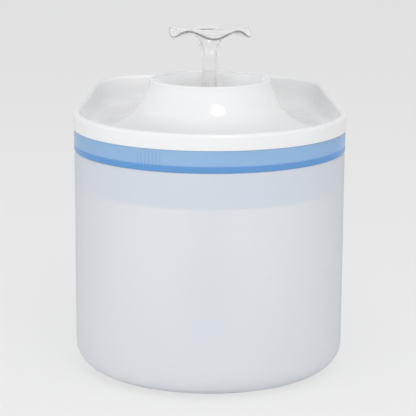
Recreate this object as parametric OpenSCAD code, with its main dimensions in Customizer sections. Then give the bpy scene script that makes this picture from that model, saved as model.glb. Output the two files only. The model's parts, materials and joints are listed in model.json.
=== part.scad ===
// Pet water fountain: frosted tank, blue filter basin, white drinking tray and clear petal spout.
// Millimetres. +Z is up, -Y is the front, and the origin is under the middle of the body.

/* [Body outline] */
// Width of the body over the blue band
body_w = 190; // [176:1:210]
// Depth of the body over the blue band
body_d = 230; // [215:1:250]
// How much each side draws in towards the back
side_taper = 7.6; // [4:0.2:12]
// Radius of the two back corners
corner_r = 40; // [36:1:46]
// Radius of the slightly bulged back edge
back_r = 260; // [200:10:400]

/* [Tank] */
// Height of the tank's rim above the table
tank_h = 155.8; // [145:0.2:170]
// Radius of the tank's bottom edge
tank_edge_r = 17; // [12:1:22]
// Thickness of the tank's wall
tank_wall = 2.2; // [1.8:0.1:3]
// Thickness of the tank's floor
tank_floor = 2.5; // [2.2:0.1:3.5]
// How far the tank sits in from the blue band
tank_inset = 0.2; // [0.2:0.1:1]
// Radius of a foot pad
pad_r = 7; // [5:0.5:8]
// How far the foot pads stand proud of the floor
pad_proud = 1.2; // [0.8:0.1:2]
// Depth of the recess that holds a foot pad
pad_recess = 1; // [0.6:0.1:1.2]

/* [Filter basin] */
// Height of the blue band that shows
band_h = 15; // [12:0.2:20]
// Wall thickness of the basin
basin_wall = 2; // [1.6:0.1:2.4]
// Depth of the basin's skirt inside the tank
skirt_depth = 25; // [22:0.5:32]
// Gap between the skirt and the tank's wall
skirt_gap = 0.4; // [0.3:0.05:0.6]
// Height of the collar round the riser above the basin's floor
collar_h = 14; // [10:0.5:16]
// Wall of the collar round the riser
collar_wall = 2; // [1.6:0.1:2.4]
// Gap between the riser and the collar
collar_gap = 0.7; // [0.4:0.1:1]
// Number of drain slots under the filter
drain_slots = 9; // [5:1:11]
// Width of a drain slot
drain_slot_w = 4; // [3:0.5:5]
// Width of the channel for the pump's lead
lead_channel_w = 18; // [16:1:22]
// Depth of the channel for the pump's lead
lead_channel_d = 6; // [5:0.5:8]

/* [Filter cartridge] */
// Width of the filter cartridge
filter_w = 116; // [100:1:120]
// Depth of the filter cartridge
filter_d = 76; // [60:1:80]
// Height of the filter cartridge
filter_h = 18; // [15:0.5:20]
// Corner radius of the cartridge
filter_r = 12; // [8:1:16]
// Wall of the cartridge frame
filter_wall = 1.6; // [1.2:0.1:2]
// Thickness of the carbon layer
carbon_h = 5; // [4:0.5:7]
// Thickness of the grille on top
filter_lid_h = 2; // [1.6:0.1:2.4]
// Height of the rib that locates the cartridge
filter_rib_h = 6; // [4:0.5:8]
// Gap between the rib and the cartridge
filter_gap = 0.5; // [0.3:0.1:0.8]

/* [Drinking tray] */
// Height of the rim at the front, above the blue band
rim_front_h = 11; // [9:0.2:14]
// How much higher the rim is at the back
rim_rise = 7.6; // [4:0.2:12]
// Width of the rolled rim
rim_w = 5.4; // [4.6:0.2:7]
// How far the rim overhangs the blue band
rim_overhang = 0.8; // [0.4:0.1:1.2]
// Wall thickness of the tray
tray_wall = 2.2; // [1.8:0.1:2.6]
// How far the pan's floor lies below the band's top edge
pan_drop = 2; // [1:0.2:3]
// Gap between the foot of the tray's locating skirt and the basin's ledge
tray_skirt_gap = 2.5; // [1.5:0.5:6]
// Gap between the tray's skirt and the band
tray_gap = 0.4; // [0.3:0.05:0.6]

/* [Pedestal] */
// Distance of the pedestal's axis behind the body's front edge
pedestal_y = 105; // [100:1:112]
// Height of the pedestal's crest above the table
crest_z = 203.3; // [196:0.1:211]
// Radius of the pedestal's crest
crest_r = 42.6; // [38:0.2:46]
// Radius of the pedestal's foot on the pan
foot_r = 80; // [74:0.5:82]
// Depth of the dish below the crest
dish_depth = 10; // [7:0.5:12]

/* [Spout] */
// Outside diameter of the clear tube
tube_d = 12; // [10:0.2:14]
// Bore of the clear tube
tube_bore = 8; // [6:0.2:9]
// Diameter of the petal disc
petal_d = 57.4; // [50:0.2:64]
// Middle height of the petal disc above the table
petal_z = 235.7; // [228:0.1:245]
// Height of the petal waves, from the middle to a crest
petal_wave = 2.6; // [1.5:0.1:4]
// How much lower the disc's back edge lies than its front edge
petal_dip = 1.6; // [0:0.1:3]
// Number of petals
petals = 5; // [4:1:7]
// Thickness of the petal disc
petal_t = 1.6; // [1.2:0.1:2.2]
// Radius where the trumpet runs out into the disc
neck_r = 16; // [13:0.2:18]
// Height over which the tube opens into its trumpet
neck_h = 16; // [12:0.5:20]
// Length of the tube below the dish
tube_insert = 20; // [16:0.5:24]
// Clearance of the tube in its socket
tube_gap = 0.3; // [0.2:0.05:0.4]

/* [Pump] */
// Width of the pump
pump_w = 44; // [42:0.5:50]
// Height of the pump's casing
pump_h = 42; // [41:0.5:48]
// Length of the motor casing
motor_l = 39; // [38:0.5:46]
// Length of the slotted front cover
cover_l = 44; // [42:0.5:50]
// Wall of the pump's casing
pump_wall = 2; // [1.6:0.1:2.4]
// Height of the suction cups
cup_h = 6; // [5:0.5:8]
// Radius of the rotor's magnet
magnet_r = 8.5; // [7.5:0.1:8.8]
// Radius of the impeller
impeller_r = 11.5; // [9.5:0.1:12]
// Number of impeller blades
blades = 6; // [4:1:8]
// Radius of the rotor's shaft
shaft_r = 1.5; // [1.2:0.1:1.8]
// Running clearance of the rotor on its shaft
shaft_gap = 0.06; // [0.03:0.01:0.1]
// Outside diameter of the pump's outlet
outlet_d = 13; // [11:0.2:14]
// Bore of the pump's outlet
outlet_bore = 9; // [7:0.2:10]
// Wall of the silicone riser tube
riser_wall = 2; // [1.5:0.1:2.5]
// Number of slots across the front cover
cover_slots = 6; // [4:1:8]

/* [Hidden] */
$fn = 64;
eps = 0.01;
slip = 0.05;          // silicone pushed over or into a hard part
run_gap = 0.3;        // parts on different bodies that don't bear on each other

// Heights, from the table up
tank_z = pad_proud;
tank_in_z = tank_z + tank_floor;
band_top_z = tank_h + band_h;
basin_bottom_z = tank_h - skirt_depth;
basin_floor_z = basin_bottom_z + basin_wall;
pan_z = band_top_z - pan_drop;
pump_z = tank_in_z + cup_h;
motor_y0 = 7;                               // front face of the motor casing, behind the outlet
axis_y = -body_d / 2 + pedestal_y;          // axis of outlet, riser, pedestal and spout
tube_foot_z = crest_z - dish_depth - tube_insert;

// ---- body outline: a front arc, two straight sides, two corner arcs and a bulged back ----

// Middle of the front arc
front_r = body_w / 2;
front_c = [0, -body_d / 2 + front_r];
// Middle of the back arc, and of the right corner arc inside it
back_c = [0, body_d / 2 - back_r];
corner_x = body_w / 2 - side_taper - corner_r;
corner_c = [corner_x, back_c.y + sqrt(pow(back_r - corner_r, 2) - pow(corner_x, 2))];
// Direction that the straight side faces, and the one where the corner meets the back
side_v = corner_c - front_c;
side_a = atan2(side_v.y, side_v.x) - acos((front_r - corner_r) / norm(side_v));
back_a = atan2(corner_c.y - back_c.y, corner_c.x);
front_steps = 38;
corner_steps = 8;
back_steps = 8;

function along(c, r, a) = [c.x + r * cos(a), c.y + r * sin(a)];
function arc(c, r, a0, a1, n, skip = 0) =
    [for (i = [skip:n - skip]) along(c, r, a0 + (a1 - a0) * i / n)];

// The outline drawn in by t all round; every outline has the same number of points
function outline(t) = concat(
    arc(corner_c, corner_r - t, side_a, back_a, corner_steps),
    arc(back_c, back_r - t, back_a, 180 - back_a, back_steps, 1),
    arc([-corner_c.x, corner_c.y], corner_r - t, 180 - back_a, 180 - side_a, corner_steps),
    arc(front_c, front_r - t, 180 - side_a, 360 + side_a, front_steps));

// How far the rim has risen at a point on its way from the front to the back
function rise(y) = rim_rise * (y + body_d / 2) / body_d;

// A level is [inset, height, share of the rim's rise]
function ring(level) = [for (p = outline(level[0]))
    [p.x, p.y, level[1] + (len(level) > 2 ? level[2] * rise(p.y) : 0)]];

// Skin over a stack of rings; closed ends make a cup, open ends join into a ring
module loft(rings, cup = true) {
    n = len(rings[0]);
    m = len(rings);
    last = cup ? m - 2 : m - 1;
    sides = [for (k = [0:last], i = [0:n - 1])
        let (a = k * n, b = (k + 1) % m * n, j = (i + 1) % n)
        each [[a + i, b + i, b + j], [a + i, b + j, a + j]]];
    caps = cup ? [[for (i = [0:n - 1]) i], [for (i = [n - 1:-1:0]) (m - 1) * n + i]] : [];
    polyhedron(points = [for (r = rings) each r], faces = concat(sides, caps));
}

module shell(levels) {
    loft([for (l = levels) ring(l)]);
}

// ---- small helpers ----

module rounded(w, d, r) {
    square([w - 2 * r, d], center = true);
    square([w, d - 2 * r], center = true);
    for (x = [-1, 1], y = [-1, 1]) translate([x * (w / 2 - r), y * (d / 2 - r)]) circle(r);
}

// Solid from y0 to y1 whose outline is drawn in X and Z
module along_y(y0, y1) {
    translate([0, y1, 0]) rotate([90, 0, 0]) linear_extrude(y1 - y0) children();
}

module tube(r_out, r_in, z0, z1) {
    translate([0, 0, z0]) difference() {
        cylinder(r = r_out, h = z1 - z0);
        translate([0, 0, -1]) cylinder(r = r_in, h = z1 - z0 + 2);
    }
}

// ---- tank ----

edge_steps = 6;
inner_edge_r = tank_edge_r - tank_wall;
grommet_z = tank_h - 10;
grommet_hole_r = 4;
grommet_flange_r = 6.2;
grommet_flange_t = 0.8;
grommet_lead_r = 1.9;
wall_sag = 0.25;         // how far the curved wall falls away inside across the bush
tank_back_y = body_d / 2 - tank_inset;
pad_xy = [[44, front_c.y - 44], [corner_c.x + 7, corner_c.y + 7]];

module tank() color("#dfe6ee") {
    difference() {
        shell(concat(
            [for (i = [0:edge_steps]) let (a = 90 * i / edge_steps)
                [tank_inset + tank_edge_r * (1 - sin(a)), tank_z + tank_edge_r * (1 - cos(a))]],
            [[tank_inset, tank_h], [tank_inset + tank_wall, tank_h]],
            [for (i = [edge_steps:-1:0]) let (a = 90 * i / edge_steps)
                [tank_inset + tank_wall + inner_edge_r * (1 - sin(a)),
                 tank_in_z + inner_edge_r * (1 - cos(a))]]));
        for (p = pad_xy, side = [-1, 1])
            translate([side * p.x, p.y, tank_z - 1]) cylinder(r = pad_r + slip, h = pad_recess + 1);
        translate([0, tank_back_y + 1, grommet_z]) rotate([90, 0, 0])
            cylinder(r = grommet_hole_r, h = tank_wall + 2);
    }
}

module foot_pads() color("#c9ccd0") {
    for (p = pad_xy, side = [-1, 1])
        translate([side * p.x, p.y, 0]) cylinder(r = pad_r, h = pad_proud + pad_recess);
}

// Rubber bush where the pump's lead leaves the tank; the lead itself isn't part of the model
module lead_grommet() color("#6f7479") {
    groove = tank_wall + slip + wall_sag;
    translate([0, tank_back_y + slip, grommet_z]) rotate([90, 0, 0]) difference() {
        union() {
            translate([0, 0, -grommet_flange_t]) cylinder(r = grommet_flange_r, h = grommet_flange_t);
            cylinder(r = grommet_hole_r - slip, h = groove);
            translate([0, 0, groove]) cylinder(r = grommet_flange_r, h = grommet_flange_t);
        }
        translate([0, 0, -grommet_flange_t - 1]) cylinder(r = grommet_lead_r, h = tank_wall + 5);
    }
}

// ---- filter basin ----

skirt_t = tank_inset + tank_wall + skirt_gap;
ledge_z = tank_h + basin_wall;
filter_y = body_d / 2 - 57;
riser_r = outlet_d / 2 + slip + riser_wall;
collar_r = riser_r + collar_gap;
rib_wall = 1.6;
chamfer = 0.6;

module basin_tub() {
    shell([[skirt_t + 2, basin_bottom_z], [skirt_t, basin_bottom_z + 2], [skirt_t, tank_h],
        [chamfer, tank_h], [0, tank_h + chamfer], [0, band_top_z - chamfer],
        [chamfer, band_top_z], [basin_wall, band_top_z],
        [basin_wall, ledge_z], [skirt_t + basin_wall, ledge_z],
        [skirt_t + basin_wall, basin_floor_z + 1.5], [skirt_t + basin_wall + 1.5, basin_floor_z]]);
}

// Long slots through the floor under the filter
module slot_row(w, d, count, slot_w, h) {
    pitch = w / count;
    for (i = [0:count - 1]) translate([(i - (count - 1) / 2) * pitch, 0, 0])
        linear_extrude(h) rounded(slot_w, d, slot_w / 2 - eps);
}

module filter_basin() color("#7fb2dd") {
    channel_y = body_d / 2 - skirt_t - lead_channel_d;
    difference() {
        union() {
            basin_tub();
            translate([0, axis_y, basin_bottom_z])
                cylinder(r = collar_r + collar_wall, h = basin_wall + collar_h);
            translate([-lead_channel_w / 2 - basin_wall, channel_y - basin_wall, basin_bottom_z])
                cube([lead_channel_w + 2 * basin_wall, lead_channel_d, tank_h - basin_bottom_z + 1]);
            translate([0, filter_y, basin_floor_z - eps]) difference() {
                linear_extrude(filter_rib_h) rounded(filter_w + 2 * (filter_gap + rib_wall),
                    filter_d + 2 * (filter_gap + rib_wall), filter_r + filter_gap + rib_wall);
                translate([0, 0, -1]) linear_extrude(filter_rib_h + 2)
                    rounded(filter_w + 2 * filter_gap, filter_d + 2 * filter_gap,
                            filter_r + filter_gap);
            }
        }
        translate([0, axis_y, basin_bottom_z - 1]) cylinder(r = collar_r, h = collar_h + 5);
        translate([-lead_channel_w / 2, channel_y, basin_bottom_z - 1])
            cube([lead_channel_w, lead_channel_d + skirt_t, tank_h - basin_bottom_z + 1]);
        translate([0, filter_y, basin_bottom_z - 1])
            slot_row(filter_w - 16, filter_d - 22, drain_slots, drain_slot_w, basin_wall + 2);
    }
}

// ---- filter cartridge ----

filter_in_w = filter_w - 2 * filter_wall;
filter_in_d = filter_d - 2 * filter_wall;
filter_in_r = filter_r - filter_wall;
carbon_z = basin_floor_z + filter_wall;
cotton_z = carbon_z + carbon_h;
filter_top_z = basin_floor_z + filter_h;

module filter_frame() color("#e9edf1") {
    translate([0, filter_y, basin_floor_z]) difference() {
        linear_extrude(filter_h) rounded(filter_w, filter_d, filter_r);
        translate([0, 0, filter_wall]) linear_extrude(filter_h)
            rounded(filter_in_w, filter_in_d, filter_in_r);
        translate([0, 0, -1])
            slot_row(filter_w - 16, filter_d - 22, drain_slots, drain_slot_w, filter_wall + 2);
    }
}

module filter_carbon() color("#2c2d2f") {
    translate([0, filter_y, carbon_z]) linear_extrude(carbon_h)
        rounded(filter_in_w - 2 * slip, filter_in_d - 2 * slip, filter_in_r);
}

module filter_cotton() color("#f5f5f0") {
    translate([0, filter_y, cotton_z]) linear_extrude(filter_top_z - filter_lid_h - cotton_z)
        rounded(filter_in_w - 2 * slip, filter_in_d - 2 * slip, filter_in_r);
}

module filter_grille() color("#8bbbe2") {
    translate([0, filter_y, filter_top_z - filter_lid_h]) difference() {
        linear_extrude(filter_lid_h) rounded(filter_in_w - 2 * slip, filter_in_d - 2 * slip,
                                             filter_in_r);
        for (row = [-1, 1]) translate([0, row * filter_d / 5, -1])
            slot_row(filter_w - 14, filter_d / 2 - 14, 12, 4, filter_lid_h + 2);
        translate([0, 0, -1]) linear_extrude(filter_lid_h + 2) rounded(24, 5, 2.4);
    }
}

// ---- drinking tray ----

skirt_out = basin_wall + tray_gap;
skirt_foot_z = ledge_z + tray_skirt_gap;
pan_t = 12;
roll_steps = 6;
socket_r = 11;
socket_foot_z = basin_floor_z + collar_h + 4;
socket_ledge = 3;
riser_top_z = tube_foot_z - socket_ledge - 5;
pan_fillet_steps = 3;
drain_y = body_d / 2 - 27;
hole_xy = [-83.5, -7];

// Rolled edge: half an ellipse from the outer face over to the inner one
function roll() = [for (i = [0:roll_steps]) let (a = 180 * i / roll_steps)
    [rim_w / 2 - rim_overhang - rim_w / 2 * cos(a),
     band_top_z + rim_front_h - rim_w / 2 + rim_w / 2 * sin(a), 1]];

module tray_pan() {
    inner = rim_w - rim_overhang;
    shell(concat(
        [[skirt_out + tray_wall, pan_z - tray_wall],
         [skirt_out + tray_wall, skirt_foot_z], [skirt_out, skirt_foot_z],
         [skirt_out, band_top_z], [-rim_overhang, band_top_z]],
        roll(),
        [[inner + 0.6, pan_z + 6, 0.4], [inner + 1.6, pan_z + 2.4, 0.1],
         [inner + 3.4, pan_z + 0.6], [pan_t, pan_z]]));
}

// Outside of the pedestal, from the crest down to the pan, as shares of its spread and height
flank = [[0.019, 0.876], [0.118, 0.628], [0.198, 0.468], [0.28, 0.35], [0.39, 0.24],
         [0.53, 0.15], [0.68, 0.08], [0.84, 0.03], [1, 0]];
crest_round = 1.3;
crest_steps = 4;

function flank_at(p, wall) = [crest_r + p[0] * (foot_r - crest_r) - wall[0],
                              pan_z + p[1] * (crest_z - pan_z) - wall[1]];
function dish_curve() = let (n = 6, r0 = tube_d / 2 + tube_gap, z0 = crest_z - dish_depth,
                             r1 = crest_r - 2 * crest_round)
    [for (i = [0:n]) let (s = i / n) [r0 + (r1 - r0) * s, z0 + (dish_depth - crest_round) * pow(s, 3)]];

// Half section of the pedestal with its dish
module pedestal_profile() {
    top = [for (i = [0:crest_steps]) let (a = 180 - 180 * i / crest_steps)
        [crest_r - crest_round + crest_round * cos(a), crest_z - crest_round + crest_round * sin(a)]];
    outer = [for (p = flank) flank_at(p, [0, 0])];
    inner = [for (i = [len(flank) - 1:-1:0])
        flank_at(flank[i], i == len(flank) - 1 ? [0, tray_wall] : [tray_wall, tray_wall * 0.8])];
    under = [for (i = [6:-1:0]) dish_curve()[i] - [i == 0 ? 0 : 1.2 * i / 6, tray_wall]];
    polygon(concat(dish_curve(), top, outer, inner, under));
}

module tray_socket() {
    bore_r = tube_d / 2 + tube_gap;
    ledge_z0 = tube_foot_z - socket_ledge;
    difference() {
        translate([0, 0, socket_foot_z])
            cylinder(r = socket_r, h = crest_z - dish_depth - socket_foot_z - eps);
        translate([0, 0, tube_foot_z]) cylinder(r = bore_r, h = tube_insert + 1);
        translate([0, 0, ledge_z0 - 1]) cylinder(r = tube_bore / 2, h = socket_ledge + 2);
        translate([0, 0, socket_foot_z - 1]) cylinder(r = riser_r + run_gap,
                                                      h = ledge_z0 - socket_foot_z + 1);
    }
}

module drinking_tray() color("#f1f2f4") {
    difference() {
        union() {
            difference() {
                tray_pan();
                translate([0, axis_y, pan_z - 10]) cylinder(r = foot_r - 2, h = 20);
            }
            translate([0, axis_y, 0]) rotate_extrude() pedestal_profile();
            translate([0, axis_y, 0]) tray_socket();
        }
        translate([0, drain_y, pan_z - tray_wall - 1]) slot_row(60, 14, 7, 3, tray_wall + 2);
        translate([hole_xy.x, hole_xy.y, pan_z - tray_wall - 1]) cylinder(r = 1.6, h = tray_wall + 6);
    }
}

module riser_seal() color("#cfd4d9") {
    translate([0, axis_y, 0]) tube(riser_r + run_gap - slip, tube_bore / 2, riser_top_z + run_gap,
                                   tube_foot_z - socket_ledge);
}

// ---- spout ----

disc_steps = 60;
disc_rings = 5;
edge_cut = 0.5;           // the disc's edge is cut back by this much on both faces
neck_steps = 12;
neck_lap = 0.8;           // how far the disc laps over the trumpet's rim
neck_step = 0.15;         // height of the step there, above and below
neck_rim_t = petal_t - 2 * neck_step;
neck_z = petal_z - neck_rim_t / 2 - neck_h;
petal_turn = 121;         // turns the petals so that a trough faces the front
seal_z = tube_foot_z + 8;
seal_h = 2.4;
seal_cut = 0.8;

// Middle of the wavy disc at radius r and angle a; waves and dip grow from nothing at the trumpet
function wave(r, a) = let (grow = pow(max(0, (r - neck_r) / (petal_d / 2 - neck_r)), 1.2))
    petal_z + grow * (petal_wave * cos(petals * (a + petal_turn)) - petal_dip / 2 * sin(a));
function disc_ring(r, up) = [for (i = [0:disc_steps - 1]) let (a = 360 * i / disc_steps)
    [r * cos(a), r * sin(a), wave(r, a) + up]];

module petal_disc() {
    edge_r = petal_d / 2;
    radii = concat([neck_r - neck_lap],
        [for (k = [0:disc_rings - 1]) neck_r + (edge_r - neck_r) * k / disc_rings],
        [edge_r - edge_cut]);
    loft(concat([for (r = radii) disc_ring(r, -petal_t / 2)],
                [disc_ring(edge_r, 0)],
                [for (k = [len(radii) - 1:-1:0]) disc_ring(radii[k], petal_t / 2)]),
         cup = false);
}

// Quarter ellipse that opens from radius r0 to the trumpet's rim, h higher
function flare(r0, h) = [for (i = [0:neck_steps]) let (a = 90 * i / neck_steps)
    [r0 + (neck_r - r0) * (1 - cos(a)), neck_z + h * sin(a)]];

// Half section of the tube and its trumpet
module trumpet_profile() {
    inside = flare(tube_bore / 2, neck_h + neck_rim_t);
    polygon(concat([[tube_bore / 2, tube_foot_z], [tube_d / 2, tube_foot_z]],
                   flare(tube_d / 2, neck_h),
                   [for (i = [neck_steps:-1:0]) inside[i]]));
}

module spout() color("#dbe9f5") {
    translate([0, axis_y, 0]) difference() {
        union() {
            petal_disc();
            rotate_extrude() trumpet_profile();
        }
        tube(tube_d, tube_d / 2 - seal_cut, seal_z, seal_z + seal_h);
    }
}

module spout_seal() color("#b9bec4") {
    translate([0, axis_y, 0]) tube(tube_d / 2 + tube_gap - slip, tube_d / 2 - seal_cut + eps,
                                   seal_z + slip, seal_z + seal_h - slip);
}

// ---- pump: the outlet is on the riser's axis and the rotor's shaft runs front to back ----

pump_r = 6;
rotor_h = 18.5;           // height of the rotor's axis in the casing
rotor_z = pump_z + rotor_h;
pump_mid_z = pump_z + pump_h / 2;
volute_wall = 2;
volute_bore_r = impeller_r + 1.5;
volute_r = volute_bore_r + volute_wall;
can_gap = 0.8;
can_wall = 1.5;
can_bore_r = magnet_r + can_gap;
can_end_y = motor_y0 + 29;
can_end_t = 4;
bush_r = 3.5;
bush_l = 3;
volute_l = 24;
volute_front_y = motor_y0 - volute_l;
plate_t = 2;
outlet_rise = 14;
outlet_top_z = pump_z + pump_h + outlet_rise;
lead_boss_r = 4;
lead_boss_l = 5;
lead_boss_h = 32;

// Everything on the pump is placed from the outlet's axis
module at_pump() {
    translate([0, axis_y, 0]) children();
}

module spindle(r, y0, y1) {
    translate([0, y1, rotor_z]) rotate([90, 0, 0]) cylinder(r = r, h = y1 - y0);
}

module casing(inset, y0, y1) {
    translate([0, 0, pump_mid_z]) along_y(y0, y1)
        rounded(pump_w - 2 * inset, pump_h - 2 * inset, pump_r - inset * 0.5);
}

module pump_housing() color("#f2f3f5") {
    lip = pump_wall + run_gap;
    motor_y1 = motor_y0 + motor_l;
    at_pump() difference() {
        union() {
            difference() {
                casing(0, motor_y0, motor_y1);
                difference() {
                    casing(pump_wall, motor_y0 + pump_wall, motor_y1 + 1);
                    spindle(can_bore_r + can_wall, motor_y0, can_end_y + can_end_t - 2);
                }
            }
            difference() {
                casing(lip, motor_y0 - 3, motor_y0 + 1);
                casing(lip + 1.8, motor_y0 - 4, motor_y0);
            }
            spindle(volute_r, volute_front_y, motor_y0 + 1);
            translate([0, 0, rotor_z]) cylinder(d = outlet_d, h = outlet_top_z - rotor_z);
        }
        spindle(volute_bore_r, volute_front_y - 1, motor_y0);
        spindle(can_bore_r, motor_y0 - 1, can_end_y - can_end_t);
        spindle(bush_r, can_end_y - can_end_t - 1, can_end_y - can_end_t + bush_l);
        translate([0, 0, rotor_z]) cylinder(d = outlet_bore, h = outlet_top_z - rotor_z + 1);
        cup_sites() translate([0, 0, pump_z - 1]) cylinder(r = 2.5 + slip, h = 2.6);
    }
}

module pump_back_cap() color("#e4e6e9") {
    y0 = motor_y0 + motor_l;
    boss_y = y0 + pump_wall + lead_boss_l;
    spigot = 2;
    at_pump() difference() {
        union() {
            casing(0, y0, y0 + pump_wall);
            casing(pump_wall + slip, y0 - spigot, y0 + 1);
            translate([0, boss_y, pump_z + lead_boss_h]) rotate([90, 0, 0])
                cylinder(r = lead_boss_r, h = lead_boss_l + 1);
        }
        translate([0, boss_y + 1, pump_z + lead_boss_h]) rotate([90, 0, 0])
            cylinder(r = grommet_lead_r, h = lead_boss_l + pump_wall);
    }
}

core_gap = 0.4;
core_half_w = pump_w / 2 - pump_wall - 2;
core_leg = 8;
core_l = 16;
core_y0 = motor_y0 + 5;
core_foot = 7;            // heights in the casing: the legs' feet and the tops of the poles
pole_top = 23;
pole_gap = 8;
coil_l = 18;
coil_wall = 2;
coil_gap = 0.5;
yoke_z0 = rotor_h + can_bore_r + can_wall + coil_wall + coil_gap;
yoke_z1 = pump_h - pump_wall - coil_wall - coil_gap;

// Laminated core: two legs whose pole faces curve round the rotor's can, joined by a yoke
module stator_core() color("#8d9196") {
    at_pump() along_y(core_y0, core_y0 + core_l) translate([0, pump_z]) difference() {
        translate([-core_half_w, core_foot]) square([2 * core_half_w, yoke_z1 - core_foot]);
        translate([0, rotor_h]) circle(can_bore_r + can_wall + core_gap);
        translate([-pole_gap / 2, core_foot - 1]) square([pole_gap, pole_gap]);
        translate([core_leg - core_half_w, pole_top])
            square([2 * (core_half_w - core_leg), yoke_z0 - pole_top]);
    }
}

// Winding on a bobbin round the yoke
module stator_coil() color("#b5673a") {
    yoke_h = yoke_z1 - yoke_z0;
    at_pump() translate([0, core_y0 + core_l / 2, pump_z + yoke_z0 + yoke_h / 2]) difference() {
        rotate([0, 90, 0]) linear_extrude(coil_l, center = true)
            rounded(yoke_h + 2 * coil_wall, core_l + 2 * coil_wall, coil_wall);
        cube([coil_l + 2, core_l + 2 * slip, yoke_h + 2 * slip], center = true);
    }
}

module rotor_shaft() color("#d9dbde") {
    at_pump() spindle(shaft_r, volute_front_y - 1.6, can_end_y - can_end_t + bush_l - 0.5);
}

module shaft_bushes() color("#3e4043") {
    at_pump() difference() {
        union() {
            spindle(bush_r, can_end_y - can_end_t, can_end_y - can_end_t + bush_l);
            spindle(bush_r, volute_front_y - plate_t, volute_front_y);
        }
        spindle(shaft_r, volute_front_y - plate_t - 1, can_end_y + 1);
    }
}

module volute_cover() color("#e4e6e9") {
    at_pump() difference() {
        union() {
            difference() {
                spindle(volute_r, volute_front_y - plate_t, volute_front_y);
                spindle(volute_bore_r - 3, volute_front_y - plate_t - 1, volute_front_y + 1);
            }
            spindle(bush_r + 1.2, volute_front_y - plate_t - 1, volute_front_y);
            for (k = [0:2]) translate([0, 0, rotor_z]) rotate([0, 120 * k, 0])
                translate([-0.9, volute_front_y - plate_t, bush_r])
                    cube([1.8, plate_t, volute_bore_r - bush_r - 1]);
        }
        spindle(bush_r, volute_front_y - plate_t, volute_front_y + 1);
    }
}

// ---- rotor ----

magnet_y0 = motor_y0 + 1;
magnet_y1 = can_end_y - can_end_t - 1;

module rotor_magnet() color("#55585c") {
    at_pump() difference() {
        spindle(magnet_r, magnet_y0, magnet_y1);
        spindle(shaft_r + shaft_gap, magnet_y0 - 1, magnet_y1 + 1);
    }
}

module impeller() color("#f0f1f2") {
    side_gap = 1;
    plate = 1.2;
    hub_r = 5;
    hub_proud = 0.2;
    back_y = motor_y0 - side_gap - hub_proud;
    front_y = volute_front_y + side_gap;
    at_pump() difference() {
        union() {
            spindle(hub_r, front_y - hub_proud, magnet_y0);
            spindle(impeller_r, back_y - plate, back_y);
            for (k = [0:blades - 1]) translate([0, 0, rotor_z]) rotate([0, 360 * k / blades, 0])
                translate([-plate / 2, front_y, hub_r - 1])
                    cube([plate, back_y - front_y - plate / 2, impeller_r - hub_r + 0.9]);
        }
        spindle(shaft_r + shaft_gap, volute_front_y - 1, magnet_y0 + 1);
    }
}

// ---- pump's front cover with its sponge and flow dial ----

cover_y0 = motor_y0 - cover_l;
cover_in_y = cover_y0 + pump_wall;
dial_r = 9;
dial_pin_r = 2;
dial_t = 2;

// Two inlet windows that the dial opens and closes
module windows(y0, y1) {
    spread = 60;
    difference() {
        spindle(dial_r - 1.2, y0, y1);
        spindle(dial_pin_r + 1.6, y0 - 1, y1 + 1);
        for (k = [0, 1]) translate([0, y0 - 1, rotor_z]) rotate([0, 180 * k, 0])
            along_y(0, y1 - y0 + 2) polygon([[0, 0],
                dial_r * 2 * [cos(spread), sin(spread)], dial_r * 2 * [-1, 1],
                dial_r * 2 * [-cos(spread), -sin(spread)]]);
    }
}

module pump_cover() color("#eceef0") {
    outlet_slot = outlet_d + 2 * run_gap;
    slot_pitch = (pump_w - 10) / cover_slots;
    at_pump() difference() {
        casing(0, cover_y0, motor_y0);
        casing(pump_wall, cover_in_y, motor_y0 + 1);
        translate([-outlet_slot / 2, 0, pump_mid_z]) cube([outlet_slot, motor_y0 + 1, pump_h]);
        cylinder(d = outlet_slot, h = pump_z + pump_h + 1);
        spindle(dial_pin_r + 0.06, cover_y0 - 1, cover_in_y + 1);
        windows(cover_y0 - 1, cover_in_y + 1);
        for (i = [0:cover_slots - 1], z = [4.5, 30.5])
            translate([(i - (cover_slots - 1) / 2) * slot_pitch - 1.1, cover_y0 - 1, pump_z + z])
                cube([2.2, pump_wall + 2, 7]);
        for (i = [0:3], z = [8, 24])
            translate([-pump_w, cover_y0 + 6 + 4.6 * i, pump_z + z]) cube([2 * pump_w, 2.2, 11]);
    }
}

module inlet_sponge() color("#2f3236") {
    gap = pump_wall + run_gap;
    at_pump() difference() {
        casing(gap, cover_in_y + 1.2, volute_front_y - plate_t - 1.4);
        spindle(dial_pin_r + 1.5, cover_in_y, cover_in_y + 4);
    }
}

module flow_dial() color("#7fb2dd") {
    y1 = cover_y0 - run_gap;
    at_pump() difference() {
        union() {
            spindle(dial_r, y1 - dial_t, y1);
            spindle(dial_pin_r, y1 - 1, cover_in_y + 1);
            spindle(dial_pin_r + 0.6, cover_in_y + run_gap, cover_in_y + 1);
            translate([-1, y1 - dial_t - 2, rotor_z - dial_r + 1]) cube([2, 2.5, 2 * dial_r - 2]);
        }
        windows(y1 - dial_t - 3, y1 + eps);
    }
}

// ---- suction cups and riser ----

cup_xy = [[14, motor_y0 + 7], [14, motor_y0 + 31]];

module cup_sites() {
    for (p = cup_xy, side = [-1, 1]) translate([side * p.x, p.y, 0]) children();
}

module suction_cups() color("#d6dade") {
    at_pump() cup_sites() {
        rotate_extrude() polygon([[0, tank_in_z + 1.6], [3, tank_in_z + 1.4], [6.4, tank_in_z],
            [7, tank_in_z], [6.6, tank_in_z + 1.2], [4, tank_in_z + 3], [3, pump_z - 1.5],
            [4.5, pump_z - 1.2], [4.5, pump_z], [2.5, pump_z], [2.5, pump_z + 1.5], [0, pump_z + 1.5]]);
    }
}

module riser_tube() color("#e6eaee") {
    at_pump() tube(riser_r, outlet_d / 2 + slip, pump_z + pump_h + 2, riser_top_z);
}

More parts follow.
